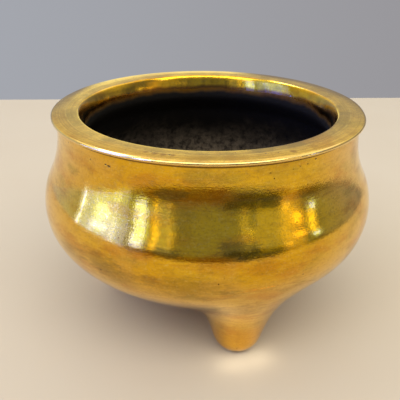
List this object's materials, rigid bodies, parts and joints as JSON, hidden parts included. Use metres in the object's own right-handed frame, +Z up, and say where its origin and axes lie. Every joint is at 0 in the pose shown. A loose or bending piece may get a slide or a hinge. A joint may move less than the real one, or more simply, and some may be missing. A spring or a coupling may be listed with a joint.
{
  "type": "tripod incense burner",
  "caption": "Round-bellied cast brass incense burner: flat turned lip, upright neck, open ash bowl, on short blunt feet that flare into the belly.",
  "frame": {"origin": "on the table, under the middle of the bowl", "axes": "+Z up along the bowl's axis, -Y towards the front foot, +X to the right seen from the front foot"},
  "size_m": [0.1314, 0.1314, 0.088],
  "materials": {
    "bowl_brass": "hand-rubbed satin polish with turned marks, pits and brown tarnish; matt soot inside",
    "foot_brass": "hand-rubbed satin polish, worn bright at the tip"
  },
  "bodies": {
    "root": {"bowl": "bowl_brass", "foot_front": "foot_brass", "foot_rear_right": "foot_brass", "foot_rear_left": "foot_brass"}
  },
  "joints": []
}
